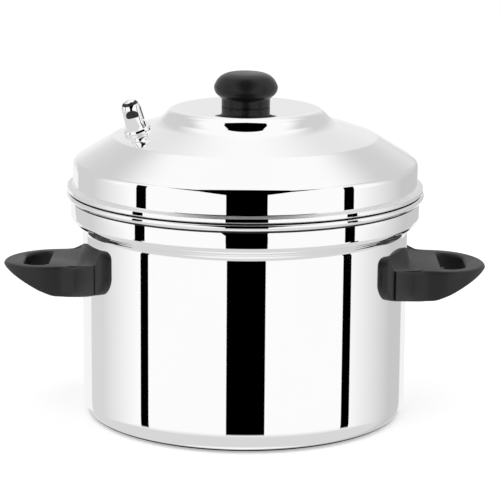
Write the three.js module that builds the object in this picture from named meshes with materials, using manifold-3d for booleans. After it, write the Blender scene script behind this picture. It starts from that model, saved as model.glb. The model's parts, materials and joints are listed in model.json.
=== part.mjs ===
// Stovetop idli steamer: a steel pot with two black handles, a domed lid with a knob and a
// steam whistle, and inside it a lift-out stack of six idli plates on a threaded rod.
// Millimetres, +Z up. The origin is the centre of the pot's flat underside.
// The handles lie along X and the whistle stands on the lid's front left slope.

import * as THREE from 'three';
import { mergeVertices } from 'three/addons/utils/BufferGeometryUtils.js';
import Module from 'manifold-3d';

const wasm = await Module();
wasm.setup();

// Clearances and facet counts
const seatGap = 0.3;
const overrun = 2;
const facetError = 0.3;
const ringSides = 32;
const plateSides = 24;
const tubeSides = 12;
const capSides = 18;
const knobSides = 24;
const cupSides = 12;
const drillSides = 8;
const steamHoleSides = 4;
const grooveSides = 4;
const wireSides = 6;
const wireSegments = 24;

// Idli cups and plates. The cups' size sets the plates' radius, and so the pot's.
const cupsPerPlate = 4;
const cupRadius = 36;
const cupDepth = 13;
const cupGap = 6.5;
const plateEdge = 6.5;
const plateThickness = 0.9;
const plateRimHeight = 2.6;
const plateRimWidth = 1.8;
const plateCount = 6;
const platePitch = 25.5;
const steamHoleRadius = 1.5;
const ventHoleRadius = 10;
const ventHoleInset = 17;
const cupCircle = (cupRadius + cupGap / 2) / Math.sin(Math.PI / cupsPerPlate);
const plateRadius = cupCircle + cupRadius + plateEdge;
const ventHoleCircle = plateRadius - ventHoleInset;

// Stand. The stack's height sets the pot's depth.
const potWall = 1;
const baseRadius = 70;
const baseHeight = 20;
const baseWall = 1;
const baseFillet = 4;
const baseArchWidth = 26;
const baseArchHeight = 9;
const baseArchCount = 4;
const baseHoleRadius = 7;
const baseHoleCircle = 42;
const baseHoleCount = 8;
const firstPlateRise = 24.7;
const rodRadius = 4;
const rodTail = 9;
const rodHead = 5;
const rodFit = 0.4;
const baseNutWidth = 13;
const baseNutHeight = 5.5;
const spacerRadius = 6.5;
const washerThickness = 1;
const topWasherRadius = 8.5;
const thumbNutRadius = 12;
const thumbNutHeight = 7;
const thumbNutGrooves = 12;
const thumbNutGrooveRadius = 1.6;
const ringRadius = 13;
const ringWire = 1.25;
const ringHoleRadius = 2.25;
const baseTop = potWall + seatGap + baseHeight;
const plateTops = [...Array(plateCount).keys()].map((k) => baseTop + firstPlateRise + k * platePitch);
const washerFoot = plateTops[plateCount - 1] + seatGap;
const thumbNutFoot = washerFoot + washerThickness + seatGap;
const ringHeight = thumbNutFoot + thumbNutHeight + seatGap + ringWire;

// Pot
const steamGap = 17;
const stackRise = 38.5;
const collarFlare = 7.9;
const collarRise = 6.8;
const collarHeight = 18.6;
const rimHeight = 4.6;
const rimWidth = 3.1;
const potCornerRadius = 13;
const bodyTopFillet = 6;
const collarFillet = 4;
const rimFillet = 1.8;
const rimFootFillet = 0.5;
const potRadius = plateRadius + steamGap;
const bodyTop = plateTops[plateCount - 1] - stackRise;
const collarRadius = potRadius + collarFlare;
const collarStart = bodyTop + collarRise;
const rimTop = collarStart + collarHeight;
const rimRadius = collarRadius + rimWidth;

// Lid, from the skirt inside the collar inwards and upwards
const lidWall = 0.9;
const lidFit = 0.5;
const lidSkirtDepth = 11.5;
const lidBeadWidth = 4;
const lidBeadHeight = 2.6;
const lidBeadSlope = 2.5;
const lidWallHeight = 21.2;
const shoulderRun = 26.8;
const shoulderRise = 16.3;
const slopeRun = 33.1;
const slopeRise = 11.2;
const plateauSideRun = 6.1;
const plateauSideRise = 8.9;
const plateauCornerFillet = 7;
const plateauFootFillet = 8;
const creaseFillet = 6;
const shoulderFillet = 4;
const beadFillet = 0.8;
const lidRadius = collarRadius - potWall - lidFit;
const lidBeadRadius = lidRadius + lidBeadWidth;
const lidBeadFoot = rimTop + seatGap;
const lidBeadEdge = lidBeadFoot + lidBeadHeight;
const lidBeadTop = lidBeadEdge + lidBeadSlope;
const shoulderHeight = lidBeadFoot + lidWallHeight;
const creaseRadius = lidRadius - shoulderRun;
const creaseHeight = shoulderHeight + shoulderRise;
const plateauFootRadius = creaseRadius - slopeRun;
const plateauFootHeight = creaseHeight + slopeRise;
const plateauCornerRadius = plateauFootRadius - plateauSideRun;
const lidPlateauHeight = plateauFootHeight + plateauSideRise;

// Knob and its fixing
const knobRadius = 22.4;
const knobHalfHeight = 11.8;
const knobNeckRadius = 17;
const knobRise = 14.5;
const knobBoreRadius = 2.8;
const knobBoreDepth = 12;
const knobScrewRadius = 2.4;
const knobScrewHeadRadius = 5;
const knobScrewHeadHeight = 2.6;
const knobScrewGrip = 10;
const knobWasherRadius = 8;
const knobCentreHeight = lidPlateauHeight + knobRise;

// Handles, drawn for the +X side
const handleDrop = 25;
const handleThickness = 22;
const gripHalfWidth = 33.5;
const gripRootHalfWidth = 54;
const gripRootCorner = 3;
const gripRootInset = 9;
const gripFlareReach = 6;
const gripFlareFillet = 16;
const gripNoseReach = 23;
const gripWedgeReach = 19;
const gripTipThickness = 6;
const gripTipWall = 13.5;
const gripEdge = 1.6;
const fingerHoleReach = 23.5;
const fingerHoleWidth = 19;
const fingerHoleHalfLength = 24;
const fingerHoleCorner = 9;
const fingerHoleInnerCorner = 2;
const shieldThickness = 4.4;
const shieldHalfWidth = 70;
const shieldCorner = 7;
const handleFootRise = 12;
const gripCrestRise = 8;
const shieldCrestRise = 19;
const bracketHalfWidth = 14;
const bracketHeight = 14;
const bracketThickness = 2;
const bossRadius = 5;
const bossLength = 9;
const handleScrewRadius = 2;
const handleScrewHeadRadius = 4.4;
const handleScrewHeadHeight = 2.4;
const handleWasherRadius = 5;
const counterboreDepth = 5;
const slotWidth = 1.2;
const slotDepth = 1;
const handleTop = bodyTop - handleDrop;
const handleBottom = handleTop - handleThickness;
const handleMiddle = handleTop - handleThickness / 2;
const gripNoseStart = potRadius + gripNoseReach;
const gripWedgeStart = potRadius + gripWedgeReach;
const fingerHoleInner = potRadius + fingerHoleReach;
const fingerHoleOuter = fingerHoleInner + fingerHoleWidth;
const gripTipRadius = fingerHoleOuter + gripTipWall;
const shieldOuterRadius = potRadius + seatGap + shieldThickness;
const bossEnd = potRadius + seatGap + bracketThickness + bossLength;

// Steam vent and whistle, along their own tilted axis
const ventInset = 5.4;
const ventAzimuth = THREE.MathUtils.degToRad(-142);
const windowAzimuth = THREE.MathUtils.degToRad(-90);
const ventShankRadius = 3;
const ventBoreRadius = 1.4;
const ventShankLength = 8;
const ventCollarRadius = 5;
const ventCollarHeight = 1.3;
const ventBallRadius = 6.1;
const ventBallHeight = 5.2;
const ventBallHalfHeight = 3.4;
const ventNozzleRadius = 3.2;
const ventNozzleTop = 17;
const gasketThickness = 0.8;
const ventNutWidth = 10;
const ventNutHeight = 4;
const whistleHeight = 25.5;
const whistleFootRadius = 7.5;
const whistleTopRadius = 6.7;
const whistleWall = 1.1;
const whistleCollarRadius = 9.5;
const whistleCollarHeight = 5.4;
const whistleCollarStep = 0.9;
const windowRadius = 4.4;
const windowRise = 14.6;
const discRadius = 4.6;
const discThickness = 1.2;
const ventRadius = creaseRadius - ventInset;
const whistleFoot = ventBallHeight + ventBallHalfHeight + seatGap;
const whistleTop = whistleFoot + whistleHeight;
const windowHeight = whistleFoot + windowRise;

// Materials
const steel = { color: 0xdcdcdc, roughness: 0.08, metalness: 1 };
const brushedSteel = { color: 0xc8c8c6, roughness: 0.28, metalness: 1 };
const bakelite = { color: 0x2c2c2e, roughness: 0.45, metalness: 0 };
const rubber = { color: 0x8c3a2a, roughness: 0.8, metalness: 0 };

const object = new THREE.Group();

// Solids

// A closed three.js geometry as a solid for joining and cutting.
function toSolid(geometry) {
  const plain = geometry.index ? geometry.toNonIndexed() : geometry.clone();
  plain.deleteAttribute('normal');
  plain.deleteAttribute('uv');
  const merged = mergeVertices(plain);
  const corners = [];
  for (let i = 0; i < merged.index.count; i += 3) {
    const [a, b, c] = [0, 1, 2].map((k) => merged.index.getX(i + k));
    if (a !== b && b !== c && c !== a) corners.push(a, b, c);
  }
  const vertProperties = new Float32Array(merged.attributes.position.array);
  const triVerts = new Uint32Array(corners);
  return new wasm.Manifold(new wasm.Mesh({ numProp: 3, vertProperties, triVerts }));
}

function toGeometry(solid) {
  const mesh = solid.getMesh();
  const geometry = new THREE.BufferGeometry();
  geometry.setAttribute('position', new THREE.BufferAttribute(mesh.vertProperties, 3));
  geometry.setIndex(new THREE.BufferAttribute(mesh.triVerts, 1));
  geometry.computeVertexNormals();
  return geometry;
}

// Turns an outline of [radius, height] points about Z. The outline runs anticlockwise
// in the radius and height plane, and starts and ends on the axis or closes on itself.
function revolve(outline, sides) {
  const points = outline.map(([radius, height]) => new THREE.Vector2(radius, height));
  return new THREE.LatheGeometry(points, sides).rotateX(Math.PI / 2);
}

function solidOfRevolution(outline, sides) {
  return toSolid(revolve(outline, sides));
}

function revolveCylinder(radius, bottom, top, sides) {
  return revolve([[0, bottom], [radius, bottom], [radius, top], [0, top]], sides);
}

function cylinderSolid(radius, bottom, top, sides) {
  return toSolid(revolveCylinder(radius, bottom, top, sides));
}

function tubeSolid(radius, bore, bottom, top, sides) {
  const outline = [[bore, bottom], [radius, bottom], [radius, top], [bore, top], [bore, bottom]];
  return solidOfRevolution(outline, sides);
}

function hexagonOutline(width) {
  const corner = width / Math.sqrt(3);
  const turns = [0, 1, 2, 3, 4, 5].map((k) => (k * Math.PI) / 3);
  return new THREE.Shape(turns.map((t) => new THREE.Vector2(corner * Math.cos(t), corner * Math.sin(t))));
}

function extrudeUp(shape, bottom, top) {
  const solid = new THREE.ExtrudeGeometry(shape, { depth: top - bottom, bevelEnabled: false });
  return solid.translate(0, 0, bottom);
}

function hexNut(width, bore, bottom, top) {
  const block = toSolid(extrudeUp(hexagonOutline(width), bottom, top));
  return block.subtract(cylinderSolid(bore, bottom - overrun, top + overrun, tubeSides));
}

// Lays a geometry drawn along Z along X instead.
function alongX(geometry) {
  return geometry.rotateY(Math.PI / 2);
}

// Outlines

// Replaces each corner [x, y, radius] of an open outline by an arc of that radius, in as
// few steps as keep the arc within the facet error.
function rounded(corners) {
  const points = [];
  corners.forEach(([x, y, radius], i) => {
    const corner = new THREE.Vector2(x, y);
    if (!radius || i === 0 || i === corners.length - 1) {
      points.push([x, y]);
      return;
    }
    const before = new THREE.Vector2(...corners[i - 1]).sub(corner).normalize();
    const after = new THREE.Vector2(...corners[i + 1]).sub(corner).normalize();
    const half = Math.acos(THREE.MathUtils.clamp(before.dot(after), -1, 1)) / 2;
    const toCentre = before.clone().add(after).normalize().multiplyScalar(radius / Math.sin(half));
    const centre = corner.clone().add(toCentre);
    const start = before.multiplyScalar(radius / Math.tan(half)).add(corner).sub(centre);
    const end = after.multiplyScalar(radius / Math.tan(half)).add(corner).sub(centre);
    const sweep = Math.atan2(start.cross(end), start.dot(end));
    const stepAngle = 2 * Math.acos(1 - Math.min(facetError / radius, 1));
    const steps = Math.max(1, Math.round(Math.abs(sweep) / stepAngle));
    for (let k = 0; k <= steps; k += 1) {
      const spoke = start.clone().rotateAround(new THREE.Vector2(), (sweep * k) / steps);
      points.push([centre.x + spoke.x, centre.y + spoke.y]);
    }
  });
  return points;
}

// Moves an open outline to its left by a distance, so that a sheet has an even wall.
function offset(corners, distance) {
  const points = corners.map(([x, y]) => new THREE.Vector2(x, y));
  const legFrom = (i) => points[i + 1].clone().sub(points[i]).normalize();
  const leftOf = (direction) => new THREE.Vector2(-direction.y, direction.x);
  return corners.map(([, , radius], i) => {
    const behind = legFrom(Math.max(i - 1, 0));
    const ahead = legFrom(Math.min(i, corners.length - 2));
    const left = leftOf(behind).add(leftOf(ahead)).normalize();
    const turn = Math.sign(behind.cross(ahead));
    const moved = points[i].clone().addScaledVector(left, distance / left.dot(leftOf(ahead)));
    return [moved.x, moved.y, radius ? Math.max(radius - turn * distance, 0) : 0];
  });
}

function addPiece(parent, name, geometry, finish) {
  const mesh = new THREE.Mesh(geometry, new THREE.MeshStandardMaterial(finish));
  mesh.name = name;
  parent.add(mesh);
  return mesh;
}

// Pot: one drawn sheet with a rolled rim
function makePot() {
  const skin = [
    [0, 0, 0],
    [potRadius, 0, potCornerRadius],
    [potRadius, bodyTop, bodyTopFillet],
    [collarRadius, collarStart, collarFillet],
    [collarRadius, rimTop, 0],
  ];
  const inside = rounded(offset(skin, potWall)).reverse();
  skin[skin.length - 1] = [collarRadius, rimTop - rimHeight, rimFootFillet];
  const rim = [
    [rimRadius, rimTop - rimHeight, rimFillet],
    [rimRadius, rimTop, rimFillet],
    [collarRadius - potWall, rimTop, 0],
  ];
  const outline = [...rounded([...skin, ...rim]), ...inside.slice(1)];
  addPiece(object, 'pot_body', revolve(outline, ringSides), steel);
}

// Lid: one drawn sheet whose bead rests on the pot's rim and whose skirt drops inside it
const lidSlope = Math.atan2(slopeRise, slopeRun);

function lidSolid() {
  const skin = [
    [lidRadius, lidBeadTop, beadFillet],
    [lidRadius, shoulderHeight, shoulderFillet],
    [creaseRadius, creaseHeight, creaseFillet],
    [plateauFootRadius, plateauFootHeight, plateauFootFillet],
    [plateauCornerRadius, lidPlateauHeight, plateauCornerFillet],
    [0, lidPlateauHeight, 0],
  ];
  const skirtFoot = lidBeadFoot - lidSkirtDepth;
  const lining = offset([[lidRadius, skirtFoot, 0], ...skin.slice(1)], lidWall);
  lining[0][1] = skirtFoot;
  const bead = [
    [lidRadius, skirtFoot, 0],
    [lidRadius, lidBeadFoot, 0],
    [lidBeadRadius, lidBeadFoot, beadFillet],
    [lidBeadRadius, lidBeadEdge, beadFillet],
  ];
  return solidOfRevolution([...rounded(lining).reverse(), ...rounded([...bead, ...skin])], ringSides);
}

// The vent's frame: its origin lies on the lid's outer face and its Z axis is square to the slope.
const ventFrame = new THREE.Group();
ventFrame.position.set(
  ventRadius * Math.cos(ventAzimuth),
  ventRadius * Math.sin(ventAzimuth),
  plateauFootHeight - (ventRadius - plateauFootRadius) * Math.tan(lidSlope),
);
ventFrame.rotation.set(0, lidSlope, ventAzimuth, 'ZYX');
ventFrame.updateMatrix();

function makeLid() {
  const drill = (radius) => revolveCylinder(radius, -lidWall - overrun, overrun, tubeSides);
  const knobHole = toSolid(drill(knobBoreRadius).translate(0, 0, lidPlateauHeight));
  const ventHole = toSolid(drill(ventShankRadius + seatGap).applyMatrix4(ventFrame.matrix));
  addPiece(object, 'lid_shell', toGeometry(lidSolid().subtract(knobHole).subtract(ventHole)), steel);
}

// Knob: a flattened ball on a neck, held by a screw from under the lid
function makeKnob() {
  const foot = lidPlateauHeight + seatGap;
  const neckMeet = Math.asin(knobNeckRadius / knobRadius);
  const bulge = [];
  const bulgeSteps = 7;
  for (let k = 0; k <= bulgeSteps; k += 1) {
    const t = Math.PI - neckMeet - ((Math.PI - neckMeet) * k) / bulgeSteps;
    bulge.push([knobRadius * Math.sin(t), knobCentreHeight + knobHalfHeight * Math.cos(t)]);
  }
  bulge[bulgeSteps][0] = 0;
  const outline = [
    [0, foot + knobBoreDepth],
    [knobBoreRadius, foot + knobBoreDepth],
    [knobBoreRadius, foot],
    [knobNeckRadius, foot],
    ...bulge,
  ];
  addPiece(object, 'lid_knob', revolve(outline, knobSides), bakelite);

  const washerTop = lidPlateauHeight - lidWall - seatGap;
  const washerLow = washerTop - washerThickness;
  const washer = tubeSolid(knobWasherRadius, knobBoreRadius, washerLow, washerTop, tubeSides);
  addPiece(object, 'knob_washer', toGeometry(washer), brushedSteel);

  const headTop = washerLow - seatGap;
  const screw = cylinderSolid(knobScrewRadius, headTop - slotDepth, foot + knobScrewGrip, tubeSides)
    .add(cylinderSolid(knobScrewHeadRadius, headTop - knobScrewHeadHeight, headTop, tubeSides))
    .subtract(slotCutter(knobScrewHeadRadius, headTop - knobScrewHeadHeight, -1));
  addPiece(object, 'knob_screw', toGeometry(screw), brushedSteel);
}

// A straight driver slot across a screw head whose face is at a height, cut along direction.
function slotCutter(headRadius, face, direction) {
  const middle = face + (direction * (overrun - slotDepth)) / 2;
  const box = new THREE.BoxGeometry(2 * headRadius + overrun, slotWidth, slotDepth + overrun);
  return toSolid(box.translate(0, 0, middle));
}

// Handles

// The end-on outline of a handle piece: its lower and upper edges rise away from the middle,
// so that it hugs the pot in a shallow saddle. The crest's rise is told at the shield's ends.
function saddleShape(halfWidth, corner, crestRise) {
  const widthShares = [-1, -0.5, 0, 0.5, 1];
  const reach = (halfWidth / shieldHalfWidth) ** 2;
  const edge = (height, rise) => widthShares.map(
    (share) => [halfWidth * share, height + rise * reach * share ** 2, share ** 2 < 1 ? 0 : corner],
  );
  const corners = [...edge(handleBottom, handleFootRise), ...edge(handleTop, crestRise).reverse()];
  const closed = [corners[corners.length - 1], ...corners, corners[0]];
  return new THREE.Shape(rounded(closed).slice(1, -1).map(([x, y]) => new THREE.Vector2(x, y)));
}

// Extrudes a shape drawn in the YZ plane along X, from one X to another.
function extrudeAlongX(shape, from, to) {
  const solid = new THREE.ExtrudeGeometry(shape, { depth: to - from, bevelEnabled: false });
  const turn = new THREE.Matrix4().makeBasis(
    new THREE.Vector3(0, 1, 0),
    new THREE.Vector3(0, 0, 1),
    new THREE.Vector3(1, 0, 0),
  );
  return solid.applyMatrix4(turn).translate(from, 0, 0);
}

// Extrudes a shape drawn in the XZ plane along Y, centred on Y = 0.
function extrudeAlongY(shape, halfWidth) {
  const solid = new THREE.ExtrudeGeometry(shape, { depth: 2 * halfWidth, bevelEnabled: false });
  return solid.rotateX(Math.PI / 2).translate(0, halfWidth, 0);
}

function gripPlan() {
  const nose = gripTipRadius - gripNoseStart;
  const noseSteps = 8;
  const points = rounded([
    [potRadius / 2, gripRootHalfWidth, 0],
    [potRadius - gripRootInset, gripRootHalfWidth, gripRootCorner],
    [potRadius + gripFlareReach, gripHalfWidth, gripFlareFillet],
    [gripNoseStart, gripHalfWidth, 0],
  ]);
  for (let k = 1; k < noseSteps; k += 1) {
    const t = (Math.PI / 2) * (1 - k / noseSteps);
    points.push([gripNoseStart + nose * Math.cos(t), gripHalfWidth * Math.sin(t)]);
  }
  points.push([gripTipRadius, 0]);
  const mirrored = points.slice(0, -1).reverse().map(([x, y]) => [x, -y]);
  return new THREE.Shape([...points, ...mirrored].map(([x, y]) => new THREE.Vector2(x, y)));
}

function gripSide() {
  const tipBottom = handleTop - gripTipThickness;
  return new THREE.Shape([
    new THREE.Vector2(potRadius / 2, handleBottom - overrun),
    new THREE.Vector2(potRadius / 2, handleTop + gripCrestRise + overrun),
    new THREE.Vector2(gripTipRadius + overrun, handleTop + gripCrestRise + overrun),
    new THREE.Vector2(gripTipRadius + overrun, tipBottom),
    new THREE.Vector2(gripTipRadius, tipBottom),
    new THREE.Vector2(gripWedgeStart, handleBottom),
    new THREE.Vector2(gripWedgeStart, handleBottom - overrun),
  ]);
}

function fingerHoleShape() {
  const corners = [
    [fingerHoleInner, 0, 0],
    [fingerHoleInner, -fingerHoleHalfLength, fingerHoleInnerCorner],
    [fingerHoleOuter, -fingerHoleHalfLength, fingerHoleCorner],
    [fingerHoleOuter, fingerHoleHalfLength, fingerHoleCorner],
    [fingerHoleInner, fingerHoleHalfLength, fingerHoleInnerCorner],
    [fingerHoleInner, 0, 0],
  ];
  return new THREE.Shape(rounded(corners).slice(1).map(([x, y]) => new THREE.Vector2(x, y)));
}

function makeGrip(parent, name) {
  const low = handleBottom - overrun;
  const high = handleTop + gripCrestRise + overrun;
  const plan = toSolid(extrudeUp(gripPlan(), low, high));
  const side = toSolid(extrudeAlongY(gripSide(), shieldHalfWidth));
  const face = saddleShape(gripRootHalfWidth, gripEdge, gripCrestRise);
  const saddle = toSolid(extrudeAlongX(face, potRadius / 2, gripTipRadius + overrun));
  const hole = toSolid(extrudeUp(fingerHoleShape(), low, high));
  const pot = cylinderSolid(shieldOuterRadius + seatGap, low, high, ringSides);
  const counterbore = fingerHoleInner - counterboreDepth;
  const bore = revolve(
    [
      [0, potRadius / 2],
      [bossRadius + seatGap, potRadius / 2],
      [bossRadius + seatGap, bossEnd + seatGap],
      [handleScrewRadius + seatGap, bossEnd + seatGap],
      [handleScrewRadius + seatGap, counterbore],
      [handleWasherRadius + seatGap, counterbore],
      [handleWasherRadius + seatGap, fingerHoleInner + overrun],
      [0, fingerHoleInner + overrun],
    ],
    tubeSides,
  );
  const drilled = toSolid(alongX(bore).translate(0, 0, handleMiddle));
  const grip = plan.intersect(side).intersect(saddle).subtract(hole).subtract(pot).subtract(drilled);
  addPiece(parent, name, toGeometry(grip), bakelite);
}

function makeShield(parent, name) {
  const face = saddleShape(shieldHalfWidth, shieldCorner, shieldCrestRise);
  const block = toSolid(extrudeAlongX(face, potRadius / 2, gripTipRadius));
  const low = handleBottom - overrun;
  const high = handleTop + shieldCrestRise + overrun;
  const shell = tubeSolid(shieldOuterRadius, potRadius + seatGap, low, high, ringSides);
  const width = 2 * (bracketHalfWidth + seatGap);
  const window = new THREE.BoxGeometry(potRadius, width, bracketHeight + 2 * seatGap);
  const opening = toSolid(window.translate(potRadius, 0, handleMiddle));
  addPiece(parent, name, toGeometry(shell.intersect(block).subtract(opening)), bakelite);
}

function makeBracket(parent, name) {
  const inner = potRadius + seatGap;
  const outer = inner + bracketThickness;
  const half = bracketHeight / 2;
  const shell = tubeSolid(outer, inner, handleMiddle - half, handleMiddle + half, ringSides);
  const width = new THREE.BoxGeometry(potRadius, 2 * bracketHalfWidth, bracketHeight + overrun);
  const plate = shell.intersect(toSolid(width.translate(potRadius, 0, handleMiddle)));
  const root = outer - bracketThickness / 2;
  const boss = alongX(revolveCylinder(bossRadius, root, bossEnd, tubeSides));
  const threadRadius = handleScrewRadius + seatGap;
  const threadEnd = outer + bracketThickness / 2;
  const thread = alongX(revolveCylinder(threadRadius, threadEnd, bossEnd + overrun, tubeSides));
  const threaded = plate
    .add(toSolid(boss.translate(0, 0, handleMiddle)))
    .subtract(toSolid(thread.translate(0, 0, handleMiddle)));
  addPiece(parent, name, toGeometry(threaded), brushedSteel);
}

function makeHandleScrew(parent, side) {
  const seat = fingerHoleInner - counterboreDepth + seatGap;
  const washerBore = handleScrewRadius + seatGap;
  const washer = tubeSolid(handleWasherRadius, washerBore, seat, seat + washerThickness, tubeSides);
  const washerGeometry = alongX(toGeometry(washer)).translate(0, 0, handleMiddle);
  addPiece(parent, `${side}_handle_washer`, washerGeometry, brushedSteel);

  const head = seat + washerThickness + seatGap;
  const tip = potRadius + seatGap + bracketThickness * 2;
  const screw = cylinderSolid(handleScrewRadius, tip, head + slotDepth / 2, tubeSides)
    .add(cylinderSolid(handleScrewHeadRadius, head, head + handleScrewHeadHeight, tubeSides))
    .subtract(slotCutter(handleScrewHeadRadius, head + handleScrewHeadHeight, 1));
  const screwGeometry = alongX(toGeometry(screw)).translate(0, 0, handleMiddle);
  addPiece(parent, `${side}_handle_screw`, screwGeometry, brushedSteel);
}

function makeHandles() {
  for (const [side, turn] of [['right', 0], ['left', Math.PI]]) {
    const frame = new THREE.Group();
    frame.rotation.z = turn;
    object.add(frame);
    makeGrip(frame, `${side}_handle_grip`);
    makeShield(frame, `${side}_handle_shield`);
    makeBracket(frame, `${side}_handle_bracket`);
    makeHandleScrew(frame, side);
  }
}

// Steam vent: a nozzle through the lid with a gasket above and a nut below
function makeVent() {
  const collarFoot = seatGap + gasketThickness + seatGap;
  const bore = ventShankRadius + seatGap;
  const gasket = tubeSolid(ventCollarRadius, bore, seatGap, seatGap + gasketThickness, tubeSides);
  addPiece(ventFrame, 'vent_gasket', toGeometry(gasket), rubber);

  const ball = [];
  const ballSteps = 4;
  for (let k = 0; k <= ballSteps; k += 1) {
    const t = Math.PI / 4 + ((Math.PI / 2) * k) / ballSteps;
    ball.push([ventBallRadius * Math.sin(t), ventBallHeight - ventBallHalfHeight * Math.cos(t)]);
  }
  const outline = [
    [ventBoreRadius, -ventShankLength],
    [ventShankRadius, -ventShankLength],
    [ventShankRadius, collarFoot],
    [ventCollarRadius, collarFoot],
    [ventCollarRadius, collarFoot + ventCollarHeight],
    ...ball,
    [ventNozzleRadius, ventBallHeight + ventBallHalfHeight],
    [ventNozzleRadius, ventNozzleTop - ventNozzleRadius / 2],
    [(ventNozzleRadius + ventBoreRadius) / 2, ventNozzleTop],
    [ventBoreRadius, ventNozzleTop],
    [ventBoreRadius, -ventShankLength],
  ];
  addPiece(ventFrame, 'vent_stem', revolve(outline, tubeSides), steel);

  const nutTop = -lidWall - seatGap;
  const nut = hexNut(ventNutWidth, bore, nutTop - ventNutHeight, nutTop);
  addPiece(ventFrame, 'vent_nut', toGeometry(nut), brushedSteel);
}

// Whistle: a domed cap with a half-moon window, a stepped collar and a loose disc inside.
// The cap's floor has a bore that slips over the nozzle and rests on the stem's shoulder.
function makeWhistle() {
  const domeSteps = 3;
  const dome = (radius, top) => {
    const outline = [];
    for (let k = 0; k < domeSteps; k += 1) {
      const t = (Math.PI / 2) * (k / domeSteps);
      outline.push([radius * Math.cos(t), top - radius + radius * Math.sin(t)]);
    }
    return [...outline, [0, top]];
  };
  const floorBore = ventNozzleRadius + seatGap;
  const cap = solidOfRevolution(
    [
      [floorBore, whistleFoot],
      [whistleFootRadius, whistleFoot],
      ...dome(whistleTopRadius, whistleTop),
      ...dome(whistleTopRadius - whistleWall, whistleTop - whistleWall).reverse(),
      [whistleFootRadius - whistleWall, whistleFoot + whistleWall],
      [floorBore, whistleFoot + whistleWall],
      [floorBore, whistleFoot],
    ],
    capSides,
  );
  const moon = new THREE.Shape();
  moon.absarc(0, 0, windowRadius, 0, Math.PI, false);
  const depth = whistleFootRadius + overrun;
  const cutter = new THREE.ExtrudeGeometry(moon, { depth, bevelEnabled: false, curveSegments: 8 });
  const towardsWindow = windowAzimuth - ventAzimuth + Math.PI / 2;
  cutter.rotateX(Math.PI / 2).translate(0, 0, windowHeight).rotateZ(towardsWindow);
  addPiece(ventFrame, 'whistle_cap', toGeometry(cap.subtract(toSolid(cutter))), steel);

  const bore = whistleFootRadius + seatGap;
  const step = whistleCollarStep;
  const band = whistleCollarHeight / 3;
  const collar = revolve(
    [
      [bore, whistleFoot],
      [whistleCollarRadius - step, whistleFoot],
      [whistleCollarRadius, whistleFoot + step],
      [whistleCollarRadius, whistleFoot + band],
      [whistleCollarRadius - step, whistleFoot + band + step / 2],
      [whistleCollarRadius, whistleFoot + band + step],
      [whistleCollarRadius, whistleFoot + 2 * band],
      [whistleCollarRadius - step, whistleFoot + 3 * band],
      [bore, whistleFoot + 3 * band],
      [bore, whistleFoot],
    ],
    capSides,
  );
  addPiece(ventFrame, 'whistle_collar', collar, steel);

  const discFoot = ventNozzleTop + seatGap;
  const disc = cylinderSolid(discRadius, discFoot, discFoot + discThickness, tubeSides);
  addPiece(ventFrame, 'whistle_disc', toGeometry(disc), brushedSteel);
}

// Stand: a footed base, a rod with nuts at both ends, and tubes that space the plates
function makeStandBase() {
  const foot = potWall + seatGap;
  const skin = [[baseRadius, foot, 0], [baseRadius, baseTop, baseFillet], [0, baseTop, 0]];
  const lining = offset(skin, baseWall);
  lining[0][1] = foot;
  let base = solidOfRevolution([...rounded(lining).reverse(), ...rounded(skin)], plateSides);
  const low = baseTop - baseWall - overrun;
  const high = baseTop + overrun;
  base = base.subtract(cylinderSolid(rodRadius + rodFit, low, high, tubeSides));
  const hole = revolveCylinder(baseHoleRadius, low, high, drillSides).translate(baseHoleCircle, 0, 0);
  for (let k = 0; k < baseHoleCount; k += 1) {
    base = base.subtract(toSolid(hole.clone().rotateZ((2 * Math.PI * k) / baseHoleCount)));
  }
  const arch = new THREE.BoxGeometry(baseFillet * 2, baseArchWidth, baseArchHeight + overrun);
  arch.translate(baseRadius, 0, foot + (baseArchHeight - overrun) / 2);
  for (let k = 0; k < baseArchCount; k += 1) {
    base = base.subtract(toSolid(arch.clone().rotateZ((Math.PI * (2 * k + 1)) / baseArchCount)));
  }
  addPiece(object, 'stand_base', toGeometry(base), brushedSteel);
}

function makeRod() {
  const nutTop = baseTop - baseWall - seatGap;
  const tail = nutTop - rodTail;
  const rodTop = ringHeight + rodHead;
  const tip = rodRadius / 4;
  const rod = solidOfRevolution(
    [
      [0, tail],
      [rodRadius - tip, tail],
      [rodRadius, tail + tip],
      [rodRadius, rodTop - tip],
      [rodRadius - tip, rodTop],
      [0, rodTop],
    ],
    tubeSides,
  );
  const crossHole = alongX(revolveCylinder(ringHoleRadius, -spacerRadius, spacerRadius, drillSides));
  const drilled = rod.subtract(toSolid(crossHole.translate(0, 0, ringHeight)));
  addPiece(object, 'centre_rod', toGeometry(drilled), brushedSteel);
  const nut = hexNut(baseNutWidth, rodRadius + rodFit, nutTop - baseNutHeight, nutTop);
  addPiece(object, 'base_nut', toGeometry(nut), brushedSteel);
}

function makeSpacers() {
  plateTops.forEach((top, k) => {
    const foot = (k === 0 ? baseTop : plateTops[k - 1]) + seatGap;
    const head = top - plateThickness - seatGap;
    const spacer = tubeSolid(spacerRadius, rodRadius + rodFit, foot, head, tubeSides);
    addPiece(object, `spacer_${k + 1}`, toGeometry(spacer), brushedSteel);
  });
}

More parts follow.
